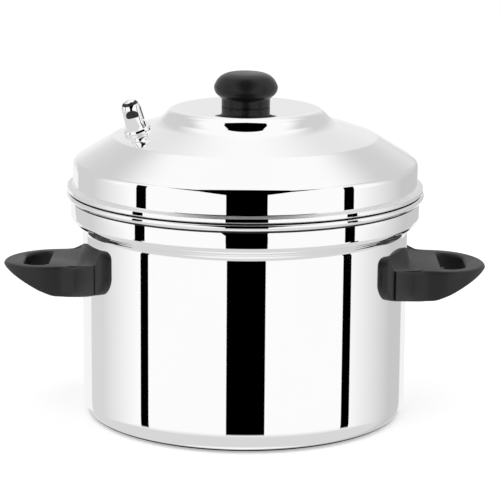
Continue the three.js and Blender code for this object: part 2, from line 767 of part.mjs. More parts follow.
// One plate in its own frame, with its upper face at zero
function plateSolid() {
  let plate = solidOfRevolution(
    [
      [rodRadius + rodFit, -plateThickness],
      [plateRadius - plateRimWidth, -plateThickness],
      [plateRadius - plateRimWidth, -plateRimHeight],
      [plateRadius, -plateRimHeight],
      [plateRadius, -plateThickness],
      [plateRadius - plateThickness, 0],
      [rodRadius + rodFit, 0],
      [rodRadius + rodFit, -plateThickness],
    ],
    plateSides,
  );
  const bowlSteps = 2;
  const bowl = (radius, depth, top) => {
    const outline = [];
    for (let k = 0; k < bowlSteps; k += 1) {
      const t = (Math.PI / 2) * (k / bowlSteps);
      outline.push([radius * Math.sin(t), -depth * Math.cos(t)]);
    }
    const rim = top > 0 ? [[radius, 0], [radius, top], [0, top]] : [[radius, 0], [0, 0]];
    return revolve([...outline, ...rim], cupSides).translate(cupCircle, 0, 0);
  };
  const outside = bowl(cupRadius + plateThickness, cupDepth + plateThickness, 0);
  const inside = bowl(cupRadius, cupDepth, overrun);
  const drillFoot = -cupDepth - plateThickness - overrun;
  const drill = revolveCylinder(steamHoleRadius, drillFoot, overrun, steamHoleSides);
  drill.translate(cupCircle, 0, 0);
  const gap = revolveCylinder(ventHoleRadius, -overrun, overrun, drillSides);
  gap.translate(ventHoleCircle, 0, 0);
  const turns = [...Array(cupsPerPlate).keys()].map((k) => (2 * Math.PI * k) / cupsPerPlate);
  for (const turn of turns) plate = plate.add(toSolid(outside.clone().rotateZ(turn)));
  for (const turn of turns) {
    plate = plate.subtract(toSolid(inside.clone().rotateZ(turn)));
    plate = plate.subtract(toSolid(gap.clone().rotateZ(turn + Math.PI / cupsPerPlate)));
    plate = plate.subtract(toSolid(drill.clone().rotateZ(turn)));
  }
  return plate;
}

// Each plate is turned half a cup spacing from the one below, so that steam passes between
function makePlates() {
  const geometry = toGeometry(plateSolid());
  plateTops.forEach((top, k) => {
    const turn = k % 2 ? 0 : Math.PI / cupsPerPlate;
    const mesh = addPiece(object, `idli_plate_${k + 1}`, geometry.clone(), brushedSteel);
    mesh.position.z = top;
    mesh.rotation.z = turn;
  });
}

function makeStandTop() {
  const bore = rodRadius + rodFit;
  const washer = tubeSolid(topWasherRadius, bore, washerFoot, washerFoot + washerThickness, tubeSides);
  addPiece(object, 'top_washer', toGeometry(washer), brushedSteel);

  const top = thumbNutFoot + thumbNutHeight;
  const chamfer = thumbNutGrooveRadius / 2;
  let nut = solidOfRevolution(
    [
      [bore, thumbNutFoot],
      [thumbNutRadius - chamfer, thumbNutFoot],
      [thumbNutRadius, thumbNutFoot + chamfer],
      [thumbNutRadius, top - chamfer],
      [thumbNutRadius - chamfer, top],
      [bore, top],
      [bore, thumbNutFoot],
    ],
    capSides,
  );
  const low = thumbNutFoot - overrun;
  const groove = revolveCylinder(thumbNutGrooveRadius, low, top + overrun, grooveSides);
  groove.translate(thumbNutRadius + thumbNutGrooveRadius / 2, 0, 0);
  for (let k = 0; k < thumbNutGrooves; k += 1) {
    nut = nut.subtract(toSolid(groove.clone().rotateZ((2 * Math.PI * k) / thumbNutGrooves)));
  }
  addPiece(object, 'thumb_nut', toGeometry(nut), brushedSteel);

  const ring = new THREE.TorusGeometry(ringRadius, ringWire, wireSides, wireSegments);
  addPiece(object, 'lift_ring', ring.translate(0, -ringRadius, ringHeight), brushedSteel);
}

makePot();
makeLid();
makeKnob();
makeHandles();
object.add(ventFrame);
makeVent();
makeWhistle();
makeStandBase();
makeRod();
makeSpacers();
makePlates();
makeStandTop();

export default object;
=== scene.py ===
import json
import math

import bmesh
import bpy
import numpy as np
from mathutils import Matrix, Vector
from mathutils.geometry import delaunay_2d_cdt

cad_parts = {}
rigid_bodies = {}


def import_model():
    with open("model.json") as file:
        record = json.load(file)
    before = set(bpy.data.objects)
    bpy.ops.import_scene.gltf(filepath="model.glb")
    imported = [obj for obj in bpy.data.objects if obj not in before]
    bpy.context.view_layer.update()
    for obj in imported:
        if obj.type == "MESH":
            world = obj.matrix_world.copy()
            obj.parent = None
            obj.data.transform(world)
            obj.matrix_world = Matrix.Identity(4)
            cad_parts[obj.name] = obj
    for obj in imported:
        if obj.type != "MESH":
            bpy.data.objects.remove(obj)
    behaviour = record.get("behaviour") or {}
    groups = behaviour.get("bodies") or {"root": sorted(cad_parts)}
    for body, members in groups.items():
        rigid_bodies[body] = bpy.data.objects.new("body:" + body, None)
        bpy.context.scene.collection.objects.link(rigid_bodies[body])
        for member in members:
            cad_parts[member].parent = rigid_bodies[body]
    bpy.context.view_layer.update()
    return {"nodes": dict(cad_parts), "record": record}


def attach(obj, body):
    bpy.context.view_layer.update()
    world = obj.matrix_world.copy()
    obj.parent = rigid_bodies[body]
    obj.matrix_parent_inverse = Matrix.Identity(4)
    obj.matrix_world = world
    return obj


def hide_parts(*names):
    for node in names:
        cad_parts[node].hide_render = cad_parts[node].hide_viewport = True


# The objects of the start-up scene go.
for leftover in list(bpy.data.objects):
    bpy.data.objects.remove(leftover)

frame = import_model()

# All shapes below are worked out in millimetres and turned into metres by mesh_from.
MM = 0.001
TURN = 2 * math.pi


# Camera: the photograph's place and framing.
def make_camera():
    place = Vector((0.0, -1600.0, 471.75)) * MM
    pitch, yaw, roll = 0.2188, 0.00234, 0.00798
    focal_px, frame_px, sensor = 2305.13, 500, 36.0
    forward = Vector((math.sin(yaw) * math.cos(pitch), math.cos(yaw) * math.cos(pitch), -math.sin(pitch)))
    flat_right = Vector((math.cos(yaw), -math.sin(yaw), 0.0))
    flat_up = flat_right.cross(forward)
    right = math.cos(roll) * flat_right + math.sin(roll) * flat_up
    up = math.cos(roll) * flat_up - math.sin(roll) * flat_right
    data = bpy.data.cameras.new("camera")
    data.sensor_width = sensor
    data.lens = sensor * focal_px / frame_px
    data.clip_end = 50.0
    camera = bpy.data.objects.new("camera", data)
    bpy.context.scene.collection.objects.link(camera)
    rotation = Matrix((right, up, -forward)).transposed().to_4x4()
    camera.matrix_world = Matrix.Translation(place) @ rotation
    bpy.context.scene.camera = camera


# Node helpers
class Nodes:
    def __init__(self, tree):
        self.tree = tree

    def add(self, kind, **values):
        node = self.tree.nodes.new(kind)
        for key, value in values.items():
            setattr(node, key, value)
        return node

    def link(self, source, target):
        self.tree.links.new(source, target)

    def feed(self, socket, value):
        if isinstance(value, bpy.types.NodeSocket):
            self.tree.links.new(value, socket)
        else:
            socket.default_value = value

    def math(self, operation, a, b=0.0):
        node = self.add("ShaderNodeMath", operation=operation)
        for socket, value in zip(node.inputs, (a, b)):
            self.feed(socket, value)
        return node.outputs[0]

    def ramp(self, value, low, high, to_low=0.0, to_high=1.0, smooth=True):
        node = self.add("ShaderNodeMapRange", interpolation_type="SMOOTHSTEP" if smooth else "LINEAR")
        for name, v in (("Value", value), ("From Min", low), ("From Max", high),
                        ("To Min", to_low), ("To Max", to_high)):
            self.feed(node.inputs[name], v)
        return node.outputs[0]

    def noise(self, vector, scale, detail):
        node = self.add("ShaderNodeTexNoise")
        self.link(vector, node.inputs["Vector"])
        node.inputs["Scale"].default_value = scale
        node.inputs["Detail"].default_value = detail
        return node.outputs["Fac"]

    def tint(self, fac, dark, light):
        node = self.add("ShaderNodeMix", data_type="RGBA")
        self.feed(node.inputs["Factor"], fac)
        node.inputs["A"].default_value = (*dark, 1.0)
        node.inputs["B"].default_value = (*light, 1.0)
        return node.outputs["Result"]

    def bump(self, height, distance, strength=1.0):
        node = self.add("ShaderNodeBump")
        node.inputs["Strength"].default_value = strength
        node.inputs["Distance"].default_value = distance
        self.link(height, node.inputs["Height"])
        return node.outputs["Normal"]


def new_material(name, metallic, specular=0.5):
    material = bpy.data.materials.new(name)
    material.use_nodes = True
    shader = material.node_tree.nodes["Principled BSDF"]
    shader.inputs["Metallic"].default_value = metallic
    shader.inputs["Specular IOR Level"].default_value = specular
    nodes = Nodes(material.node_tree)
    place = nodes.add("ShaderNodeTexCoord").outputs["Object"]
    return material, nodes, shader, place


def axis_distance(nodes, place):
    split = nodes.add("ShaderNodeSeparateXYZ")
    nodes.link(place, split.inputs[0])
    x, y, z = split.outputs
    squares = nodes.math("ADD", nodes.math("MULTIPLY", x, x), nodes.math("MULTIPLY", y, y))
    return nodes.math("SQRT", squares), z


def turned_lines(nodes, place, per_metre):
    """Noise along radius plus height, so that it rings the object's axis as polishing marks do."""
    radius, z = axis_distance(nodes, place)
    node = nodes.add("ShaderNodeTexNoise", noise_dimensions="1D")
    nodes.link(nodes.math("ADD", radius, z), node.inputs["W"])
    node.inputs["Scale"].default_value = per_metre
    node.inputs["Detail"].default_value = 3.0
    return node.outputs["Fac"]


def steel(name, dark, light, rough_low, rough_high, line_height, lines=2400.0, hazy=()):
    """hazy: less polished rings (from, to, softness, roughness) about the object's axis, in millimetres."""
    material, nodes, shader, place = new_material(name, 1.0)
    stains = nodes.noise(place, 14.0, 4.0)
    marks = turned_lines(nodes, place, lines)
    rough = nodes.ramp(marks, 0.3, 0.7, rough_low, rough_high)
    radius, _ = axis_distance(nodes, place)
    for low, high, soft, extra in hazy:
        inside = nodes.math("MULTIPLY", nodes.ramp(radius, (low - soft) * MM, (low + soft) * MM),
                            nodes.ramp(radius, (high - soft) * MM, (high + soft) * MM, 1.0, 0.0))
        rough = nodes.math("ADD", rough, nodes.math("MULTIPLY", inside, extra))
    nodes.link(nodes.tint(stains, dark, light), shader.inputs["Base Color"])
    nodes.link(rough, shader.inputs["Roughness"])
    nodes.link(nodes.bump(marks, line_height), shader.inputs["Normal"])
    return material


def moulded(name, dark, light, rough_low, rough_high, grain, specular):
    material, nodes, shader, place = new_material(name, 0.0, specular)
    cloud = nodes.noise(place, 30.0, 4.0)
    fine = nodes.noise(place, 1800.0, 2.0)
    nodes.link(nodes.tint(cloud, dark, light), shader.inputs["Base Color"])
    nodes.link(nodes.ramp(cloud, 0.35, 0.65, rough_low, rough_high), shader.inputs["Roughness"])
    nodes.link(nodes.bump(fine, grain, 0.5), shader.inputs["Normal"])
    return material


POLISHED = steel("polished_steel", (0.955, 0.955, 0.955), (0.98, 0.98, 0.975), 0.015, 0.025, 0.0000001)
LID_STEEL = steel("lid_steel", (0.955, 0.955, 0.955), (0.98, 0.98, 0.975), 0.015, 0.025, 0.0000001,
                  hazy=[(67.0, 116.0, 2.0, 0.12), (122.0, 125.1, 0.3, 0.45)])
SATIN = steel("satin_steel", (0.60, 0.60, 0.59), (0.68, 0.68, 0.67), 0.2, 0.3, 0.000004, 3000.0)
# Painted shade: a near-black steel put in the seam between pot and lid and inside the whistle cap, where
# shade falls.
PAINTED_SHADE = steel("painted_shade_steel", (0.05, 0.05, 0.05), (0.09, 0.09, 0.09), 0.5, 0.6, 0.000004)
BLACK = moulded("black_phenolic", (0.014, 0.014, 0.015), (0.020, 0.020, 0.021), 0.42, 0.52, 0.00004, 0.42)
KNOB_BLACK = moulded("knob_phenolic", (0.006, 0.006, 0.007), (0.010, 0.010, 0.011), 0.3, 0.4, 0.00002, 0.35)
RUBBER = moulded("red_rubber", (0.20, 0.035, 0.02), (0.28, 0.055, 0.03), 0.6, 0.75, 0.00003, 0.35)


# Mesh helpers
def mesh_from(name, points, faces):
    mesh = bpy.data.meshes.new(name)
    mesh.from_pydata([tuple(c * MM for c in p) for p in points], [], faces)
    mesh.validate()
    return mesh


def add_piece(name, mesh, body, finish, nodes, sharp=38.0):
    """An outer piece, which rides on a body and stands in for CAD nodes. Edges over the angle sharp aren't
    smoothed."""
    mesh.polygons.foreach_set("use_smooth", [True] * len(mesh.polygons))
    mesh.set_sharp_from_angle(angle=math.radians(sharp))
    piece = bare_object(name, mesh)
    if not mesh.materials:
        mesh.materials.append(finish)
    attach(piece, body)
    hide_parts(*nodes)


def bare_object(name, mesh):
    thing = bpy.data.objects.new(name, mesh)
    bpy.context.scene.collection.objects.link(thing)
    return thing


def applied(thing, name):
    """The mesh of an object with its modifiers, after which the object goes."""
    bpy.context.view_layer.update()
    graph = bpy.context.evaluated_depsgraph_get()
    mesh = bpy.data.meshes.new_from_object(thing.evaluated_get(graph))
    mesh.name = name
    bpy.data.objects.remove(thing)
    return mesh


def cut(mesh, cutter, name):
    """The mesh without what is inside the cutter."""
    thing = bare_object(name, mesh)
    tool = bare_object(name + "_cutter", cutter)
    modifier = thing.modifiers.new("cut", "BOOLEAN")
    modifier.operation = "DIFFERENCE"
    modifier.solver = "EXACT"
    modifier.object = tool
    result = applied(thing, name)
    bpy.data.objects.remove(tool)
    return result


def tidy_normals(mesh):
    work = bmesh.new()
    work.from_mesh(mesh)
    bmesh.ops.recalc_face_normals(work, faces=work.faces)
    work.to_mesh(mesh)
    work.free()


def lathe(outline, sides, wave=None):
    """Points and faces of an outline of (radius, height) turned about Z. It runs anticlockwise, and starts
    and ends on the axis or closes on itself. wave changes the radius by angle."""
    closed = outline[0] == outline[-1]
    rows = outline[:-1] if closed else outline
    points, rings = [], []
    for radius, height in rows:
        if radius < 1e-6:
            rings.append([len(points)] * sides)
            points.append((0.0, 0.0, height))
            continue
        rings.append(list(range(len(points), len(points) + sides)))
        for k in range(sides):
            a = TURN * k / sides
            r = radius if wave is None else wave(radius, a)
            points.append((r * math.cos(a), r * math.sin(a), height))
    faces = []
    pairs = list(zip(rings, rings[1:]))
    if closed:
        pairs.append((rings[-1], rings[0]))
    for low, high in pairs:
        for k in range(sides):
            n = (k + 1) % sides
            face = [low[k], low[n], high[n], high[k]]
            corners = [c for i, c in enumerate(face) if c not in face[:i]]
            if len(corners) > 2:
                faces.append(corners)
    return points, faces


def moved(points, matrix):
    return [tuple(matrix @ Vector(p)) for p in points]


def rounded(corners, step, support):
    """An open outline whose corners (x, y, radius) are arcs with a point at least every step degrees, each
    with a straight run of length support at both its ends where there is room."""
    result = []
    for i, (x, y, radius) in enumerate(corners):
        here = np.array((x, y), float)
        if not radius or i in (0, len(corners) - 1):
            result.append((x, y))
            continue
        before = np.array(corners[i - 1][:2], float) - here
        after = np.array(corners[i + 1][:2], float) - here
        run_before, run_after = np.linalg.norm(before), np.linalg.norm(after)
        before, after = before / run_before, after / run_after
        half = math.acos(max(-1.0, min(1.0, float(before @ after)))) / 2
        if half > math.radians(89.5):  # almost straight, so there is nothing to round
            result.append((x, y))
            continue
        middle = before + after
        centre = here + middle / np.linalg.norm(middle) * radius / math.sin(half)
        reach = radius / math.tan(half)
        start, end = here + before * reach - centre, here + after * reach - centre
        sweep = math.atan2(start[0] * end[1] - start[1] * end[0], float(start @ end))
        steps = max(2, int(abs(math.degrees(sweep)) / step) + 1)
        if run_before > reach + 2 * support:
            result.append(tuple(here + before * (reach + support)))
        for k in range(steps + 1):
            a = sweep * k / steps
            c, s = math.cos(a), math.sin(a)
            result.append((centre[0] + c * start[0] - s * start[1], centre[1] + s * start[0] + c * start[1]))
        if run_after > reach + 2 * support:
            result.append(tuple(here + after * (reach + support)))
    return result


def smooth(points, per):
    """A curve through the points but the first and last, which only give its direction there. It has per
    points from one to the next."""
    p = np.array(points, float)
    result = []
    for i in range(1, len(p) - 2):
        a, b, c, d = p[i - 1:i + 3]
        for k in range(per):
            t = k / per
            result.append(tuple(0.5 * (2 * b + (c - a) * t + (2 * a - 5 * b + 4 * c - d) * t ** 2
                                       + (3 * b - a - 3 * c + d) * t ** 3)))
    result.append(tuple(p[-2]))
    return result


def inset(points, distance):
    """The outline moved to its left."""
    p = np.array(points, float)
    step = np.diff(p, axis=0)
    step /= np.linalg.norm(step, axis=1)[:, None]
    left = np.stack([-step[:, 1], step[:, 0]], 1)
    normal = np.vstack([left[:1], left[:-1] + left[1:], left[-1:]])
    normal /= np.linalg.norm(normal, axis=1)[:, None]
    scale = np.ones(len(p))
    scale[:-1] = 1 / np.clip((normal[:-1] * left).sum(1), 0.5, 1)
    moved_points = p + normal * (distance * scale)[:, None]
    return [(max(x, 0.0), y) for x, y in moved_points.tolist()]


def revolved(name, outline, body, finish, nodes, sides, matrix=None):
    points, faces = lathe(outline, sides)
    if matrix is not None:
        points = moved(points, matrix)
    add_piece(name, mesh_from(name, points, faces), body, finish, nodes)


def paint_shade_in_rings(mesh, finish, rings):
    """Give a turned mesh its finish, and near-black painted shade in the rings (low, high, inner, outer), in
    millimetres.
    """
    mesh.materials.append(finish)
    mesh.materials.append(PAINTED_SHADE)
    for face in mesh.polygons:
        z, radius = face.center.z / MM, math.hypot(face.center.x, face.center.y) / MM
        if any(low < z < high and inner < radius < outer for low, high, inner, outer in rings):
            face.material_index = 1


# Pot
def make_pot():
    floor_and_corner = [(0, 0), (60, 0)] + smooth(
        [(98, 0), (102.5, 0), (108, 0.7), (111.8, 2.4), (114.0, 5.5), (114.8, 9.5), (115, 15), (115, 20)], 4)
    flare = [(115, 20), (115, 128), (115, 133)] + smooth(
        [(115, 131), (115, 134.2), (115.6, 136.0), (117.3, 137.7), (119.9, 139.2), (121.6, 140.4),
         (122.5, 141.9), (122.9, 143.6), (122.9, 146), (122.9, 150)], 5)
    outside = floor_and_corner + flare
    inside = inset(outside + [(122.9, 154.4)], 1.0)[::-1]
    groove = [(122.9, 154.4), (122.85, 154.5), (122.35, 154.55), (122.3, 155.5)]
    rim = smooth(
        [(122.2, 155.6), (123.2, 155.75), (124.7, 156.1), (125.6, 156.9), (126.0, 158.1), (125.75, 159.3),
         (124.9, 160.0), (123.6, 160.25), (122.4, 160.15), (121.9, 159.6), (121.9, 158.5)], 4)
    outline = outside + groove + rim + inside
    points, faces = lathe(outline, 256)
    pot = mesh_from("pot", points, faces)
    # Painted shade: near-black in the groove under the rim and on the rim's top inside, where the seam with
    # the lid lies in shade.
    under_rim, inside_rim = (154.44, 155.62, 122.1, math.inf), (159.9, math.inf, 0.0, 123.3)
    paint_shade_in_rings(pot, POLISHED, (under_rim, inside_rim))
    add_piece("pot", pot, "pot", POLISHED, ["pot_body"])


# Lid
def make_lid():
    cone = [
        (121.4, 166.0, 0.2),
        (121.4, 181.4, 5.0),
        (93.0, 198.8, 6.0),
        (66.5, 207.76, 0),
    ]
    crown = smooth(
        [(69, 206.9), (66.5, 207.76), (64, 208.8), (61.8, 209.95), (60, 211.1), (58.5, 212.45), (57, 213.95),
         (55.6, 215.5), (54.6, 216.5), (52.6, 217.75), (50, 218.6), (46, 219.15), (40, 219.3),
         (30, 219.3)], 5)
    crown += [(30, 219.3), (0, 219.35)]
    bead = [
        (121.4, 149.2, 0),
        (121.4, 159.8, 0),
        (121.4, 161.0, 0),
        (124.7, 161.05, 0.4),
        (125.4, 161.7, 0.4),
        (125.4, 164.1, 0.25),
    ]
    outside = rounded(bead + cone, 7.0, 0.12)[:-1] + crown
    shell = rounded([(121.4, 149.2, 0)] + cone[1:], 7.0, 0.12)[:-1] + crown
    inside = inset(shell, 0.9)[::-1]
    inside[0] = (0.0, inside[0][1])
    points, faces = lathe(inside + outside, 256)
    lid = mesh_from("lid", points, faces)
    # Painted shade: the lid is near-black where it sits over the pot's rim, for the shade in the seam.
    seam_over_rim = (159.8, 161.06, 121.3, 124.2)
    paint_shade_in_rings(lid, LID_STEEL, (seam_over_rim,))
    add_piece("lid", lid, "lid", LID_STEEL, ["lid_shell"])


def make_knob():
    side = smooth(
        [(17, 219), (17, 223), (17.2, 225), (18.6, 226.4), (20.3, 227.8), (21.4, 229.2), (22.1, 230.7),
         (22.4, 232.3), (22.4, 233.5), (21.9, 234.9), (21.2, 236.3), (20.4, 237.7), (19.2, 239.1),
         (17.7, 240.5), (15.6, 241.7), (12.4, 242.8), (7, 243.45), (0, 243.6), (-7, 243.45)], 4)
    side[-1] = (0.0, side[-1][1])
    outline = [(0, 219.4), (16.6, 219.4), (16.9, 219.5), (17.0, 219.8)] + side
    revolved("knob", outline, "lid", KNOB_BLACK, ["lid_knob"], 96)


# Handles, drawn for the +X side and turned for the other
HANDLE_TOP, HANDLE_BOTTOM = 110.0, 88.0
FLANK_START, FLANK_END = 33.5, 61.5
HANDLE_SLANT = 0.02


def flank_share(y):
    """0 where the grip's flanks start, 1 where they meet the shield."""
    return min(max((abs(y) - FLANK_START) / (FLANK_END - FLANK_START), 0), 1)


def crest(y):
    """The rise of the grip's top from its middle to where its flanks meet the shield."""
    return 6.5 * flank_share(y)


def instep(y):
    """The same for the undersides of the grip and the shield. The shield's ends rise further."""
    return 7.5 * flank_share(y) + 7.0 * max((abs(y) - FLANK_END) / 8.5, 0) ** 1.5


def shield_top(y):
    """The shield's top edge at the pot: low behind the grip, level over the two ears."""
    share = min(abs(y) / 40.0, 1)
    return 118.0 + 8.6 * math.sin(math.pi / 2 * share) ** 1.6


def wedge(x):
    """How far the underside rises towards the nose."""
    return float(np.interp(x, (130, 133, 136, 144.6, 160, 167, 171), (0, 0.15, 0.8, 4.2, 12.0, 15.6, 17.2)))


def loop_normals(loop):
    """Directions away from the inside at the points of a closed loop that runs anticlockwise."""
    ahead = np.roll(loop, -1, 0) - loop
    ahead /= np.maximum(np.linalg.norm(ahead, axis=1), 1e-9)[:, None]
    tangent = ahead + np.roll(ahead, 1, 0)
    tangent /= np.linalg.norm(tangent, axis=1)[:, None]
    return np.stack([tangent[:, 1], -tangent[:, 0]], 1)


def resample(loop, count):
    """A closed loop as count points at even distances along it."""
    p = np.vstack([loop, loop[:1]])
    along = np.concatenate([[0], np.cumsum(np.linalg.norm(np.diff(p, axis=0), axis=1))])
    t = np.linspace(0, along[-1], count, endpoint=False)
    return np.stack([np.interp(t, along, p[:, 0]), np.interp(t, along, p[:, 1])], 1)


def grip_loops():
    """The grip's plan, anticlockwise, and a function for its finger hole grown by a distance. Both have the
    same number of points, and each point of one belongs to a point of the other."""
    count = 384
    half = math.asin(61.3 / 120.2)
    root = []
    for a in np.linspace(half, -half, 60):
        radius = 119.75 + 0.45 * min(max((abs(a) - half + 0.05) / 0.03, 0), 1)
        root.append((radius * math.cos(a), radius * math.sin(a)))
    flank = rounded([(104.2, -61.9, 0), (122, -33.5, 15), (138, -33.5, 0)], 2.0, 0.4)
    nose = [(138 + 33 * math.cos(a), 33.5 * math.sin(a)) for a in np.linspace(-math.pi / 2, 0, 40)][1:]
    lower = flank + nose
    upper = [(x, -y) for x, y in lower[::-1]][1:]
    plan = resample(np.array(root + lower + upper[:-1]), count)
    hole = rounded([(138.5, 0, 0), (138.5, -23, 3.0), (156, -23, 13), (156, 23, 13), (138.5, 23, 3.0),
                    (138.5, 0, 0)], 6.0, 0.4)[:-1]
    dense = resample(np.array(hole), 2000)
    centre = np.array((147.0, 0.0))
    # The hole's points are told by their bearing from its centre: a little closer together along the pot,
    # as on the plan round the nose, and evenly spread between.
    bearing = np.unwrap(np.arctan2(*(plan - centre).T[::-1]))
    first, last = np.flatnonzero(plan[:, 0] >= 138)[[0, -1]]
    end = int(np.argmax(np.linalg.norm(plan, axis=1) > 120.3))
    wanted = bearing.copy()
    wanted[:end] = math.pi + (bearing[:end] - math.pi) * 0.78
    wanted[end:first] = np.linspace(wanted[end - 1], bearing[first], first - end + 2)[1:-1]
    wanted[last + 1:] = np.linspace(bearing[last], wanted[0] + TURN, count - last + 1)[1:-1]

    def hole_ring(shift):
        grown = dense + loop_normals(dense) * shift
        angle = np.arctan2(*(grown - centre).T[::-1])
        order = np.argsort(angle)
        distance = np.interp(wanted, angle[order], np.linalg.norm(grown - centre, axis=1)[order], period=TURN)
        return centre + np.stack([np.cos(wanted), np.sin(wanted)], 1) * distance[:, None]

    return plan, hole_ring


def grip_mesh(name):
    plan, hole_ring = grip_loops()
    out_plan = loop_normals(plan)
    count = len(plan)
    top_edge, low_edge, hole_edge, fans = 2.4, 1.6, 2.8, 6
    # The edges are rounded but for the face against the shield.
    free = np.clip((np.linalg.norm(plan, axis=1) - 120.4) / 6.0, 0, 1)[:, None]
    rings = []

    def top(x, y):
        return HANDLE_TOP + crest(y) - 0.035 * max(x - 120, 0)

    def low(x, y):
        return min(HANDLE_BOTTOM + instep(y) + wedge(x), top(x, y) - 3.6)

    def level(xy, height):
        rings.append([(x, y, height(x, y)) for x, y in xy])

    for k in range(fans + 1):
        a = math.pi / 2 * k / fans
        rise = low_edge * (1 - math.cos(a))
        level(plan - out_plan * free * low_edge * (1 - math.sin(a)), lambda x, y: low(x, y) + rise)
    for k in range(fans + 1):
        a = math.pi / 2 * k / fans
        drop = top_edge * (1 - math.sin(a))
        level(plan - out_plan * free * top_edge * (1 - math.cos(a)), lambda x, y: top(x, y) - drop)
    outer_in = plan - out_plan * free * top_edge
    hole_out = hole_ring(hole_edge)
    for share in (0.03, 0.15, 0.3, 0.5, 0.7, 0.85, 0.97):
        xy = outer_in * (1 - share) + hole_out * share
        level(xy, top)
    for k in range(fans + 1):
        a = math.pi / 2 * k / fans
        drop = hole_edge * (1 - math.cos(a))
        level(hole_ring(hole_edge * (1 - math.sin(a))), lambda x, y: top(x, y) - drop)
    for k in range(fans + 1):
        a = math.pi / 2 * k / fans
        rise = low_edge * (1 - math.sin(a))
        level(hole_ring(low_edge * (1 - math.cos(a))), lambda x, y: low(x, y) + rise)
    under_out = plan - out_plan * free * low_edge
    under_in = hole_ring(low_edge)
    for share in (0.9, 0.6, 0.3, 0.1):
        xy = under_out * (1 - share) + under_in * share
        level(xy, low)
    points = [p for r in rings for p in r]
    faces = []
    for i in range(len(rings)):
        a, b = i * count, ((i + 1) % len(rings)) * count
        for k in range(count):
            n = (k + 1) % count
            faces.append((a + k, a + n, b + n, b + k))
    grip = mesh_from(name, points, faces)
    middle = (HANDLE_TOP + HANDLE_BOTTOM) / 2
    turn = Matrix.Translation((0, 0, middle)) @ Matrix.Rotation(math.pi / 2, 4, "Y")
    bore = [(0, 124), (5.3, 124), (5.3, 126.6), (2.3, 126.6), (2.3, 133.5), (5.3, 133.5), (5.3, 142),
            (0, 142)]
    bore_points, bore_faces = lathe(bore, 32)
    cutter = mesh_from(name + "_bore", moved(bore_points, turn), bore_faces)
    return cut(grip, cutter, name)


def shield_mesh(name):
    """A curved sheet between the pot and the grip: columns of levels, closer together where it bends. Above
    the grip it is hollowed towards the pot, but for the ears at its ends."""
    half_width, corner = 70.0, 6.0
    inner, outer = 115.03, 119.7
    near = [0, 0.15, 0.5, 1.1, 1.8, 2.6, 4, 6, 8]
    across = [-half_width + n for n in near] + list(np.linspace(-58, 58, 49))
    across += [half_width - n for n in near[::-1]]
    low_steps = [0, 0.15, 0.5, 1.1, 2.0, 3.2, 5.0, 8.0, 12.0]
    rise_steps = [0, 0.004, 0.015, 0.035, 0.065, 0.11, 0.17, 0.25, 0.35, 0.47, 0.6, 0.74, 0.87, 0.95, 0.99, 1]
    front, back = [], []
    for a in across:
        half_height = (shield_top(a) - HANDLE_BOTTOM - instep(a)) / 2
        middle = HANDLE_BOTTOM + instep(a) + half_height
        edge = 0.25 + 1.95 * min(max((abs(a) - 59) / 5, 0), 1)
        ear = min(max((abs(a) - 61.3) / 6.5, 0), 1)
        step = HANDLE_TOP + crest(a)
        step += (shield_top(a) - 1.2 - step) * ear * ear * (3 - 2 * ear)
        over = max(abs(a) - (half_width - corner), 0)
        reach = half_height - corner + math.sqrt(max(corner ** 2 - over ** 2, 0))
        bottom, peak = middle - reach, middle + reach
        step = min(step, peak - 0.6)
        levels = [bottom + (step - bottom) * k / 16.0 for k in low_steps]
        levels += [step - 1.0] + [step + (peak - step) * k for k in rise_steps]
        for z in levels:
            v = z - middle
            q = np.array((abs(a) - (half_width - corner), abs(v) - (half_height - corner)))
            depth = corner - np.linalg.norm(np.maximum(q, 0)) - min(max(q[0], q[1]), 0)
            depth = min(max(depth, 0), edge)
            radius = outer - edge + math.sqrt(edge ** 2 - (edge - depth) ** 2)
            if z > step:
                share = (z - step) / (peak - step)
                hollow = outer - (outer - inner - 0.5) * math.sqrt(1 - (1 - share) ** 2)
                radius = min(radius, hollow + (outer - hollow) * ear)
            angle = math.asin(a / outer)
            front.append((radius * math.cos(angle), radius * math.sin(angle), z))
            back.append((inner * math.cos(angle), inner * math.sin(angle), z))
    rows, n = len(across), len(levels)
    size = len(front)
    faces = []
    for i in range(rows - 1):
        for j in range(n - 1):
            a, b, c, d = i * n + j, (i + 1) * n + j, (i + 1) * n + j + 1, i * n + j + 1
            faces.append((a, b, c, d))
            faces.append((size + d, size + c, size + b, size + a))
    border = [i * n for i in range(rows)] + [(rows - 1) * n + j for j in range(1, n)]
    border += [i * n + n - 1 for i in range(rows - 2, -1, -1)] + [j for j in range(n - 2, 0, -1)]
    for a, b in zip(border, border[1:] + border[:1]):
        faces.append((b, a, size + a, size + b))
    return mesh_from(name, front + back, faces)


def make_handles():
    slant = Matrix(((1, 0, 0, 0), (0, 1, 0, 0), (0, HANDLE_SLANT, 1, 0), (0, 0, 0, 1)))
    for side, turn in (("right", 0.0), ("left", math.pi)):
        spin = Matrix.Rotation(turn, 4, "Z")
        for kind, mesh in (("grip", grip_mesh(f"{side}_grip")), ("shield", shield_mesh(f"{side}_shield"))):
            mesh.transform(spin @ slant)
            add_piece(f"{side}_{kind}", mesh, "pot", BLACK, [f"{side}_handle_{kind}"], 42.0)


# Steam vent and whistle, in their own tilted frame
VENT_AZIMUTH = math.radians(-142)


def vent_matrix():
    slope, out = math.atan2(11.2, 33.1), 89.2
    height = 209.4 - (out - 61.5) * math.tan(slope)
    place = Vector((out * math.cos(VENT_AZIMUTH), out * math.sin(VENT_AZIMUTH), height))
    return Matrix.Translation(place) @ Matrix.Rotation(VENT_AZIMUTH, 4, "Z") @ Matrix.Rotation(slope, 4, "Y")


